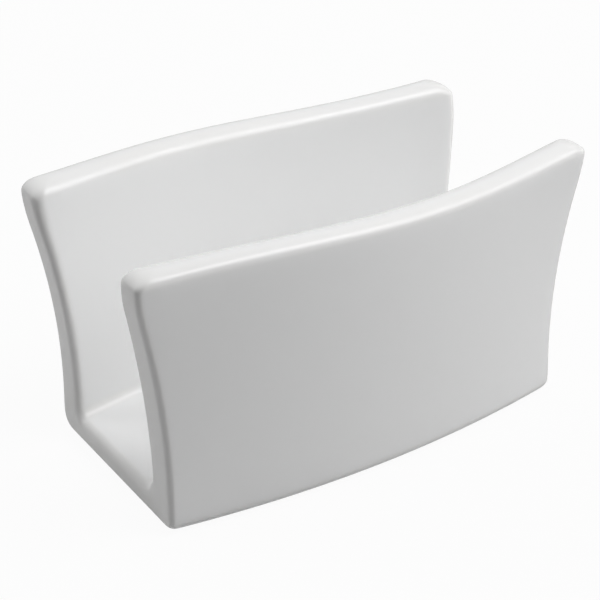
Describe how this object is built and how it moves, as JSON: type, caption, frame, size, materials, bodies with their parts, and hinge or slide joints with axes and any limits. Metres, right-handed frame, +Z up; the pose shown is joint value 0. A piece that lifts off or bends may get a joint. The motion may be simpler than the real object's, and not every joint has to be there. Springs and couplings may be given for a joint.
{
  "type": "napkin holder",
  "caption": "Upright napkin holder: a thick ceramic channel with bowed side walls, flared open ends and soft pads under its foot.",
  "frame": {"origin": "on the table, under the middle of the holder", "axes": "+X along the holder to one open end, +Y across it to the rear wall, +Z up"},
  "size_m": [0.1763, 0.0966, 0.0995],
  "materials": {
    "glaze": "gloss white glaze",
    "pad": "soft translucent grey"
  },
  "bodies": {
    "root": {"holder_body": "glaze", "foot_pad_front_left": "pad", "foot_pad_front_right": "pad", "foot_pad_rear_left": "pad", "foot_pad_rear_right": "pad"}
  },
  "joints": []
}
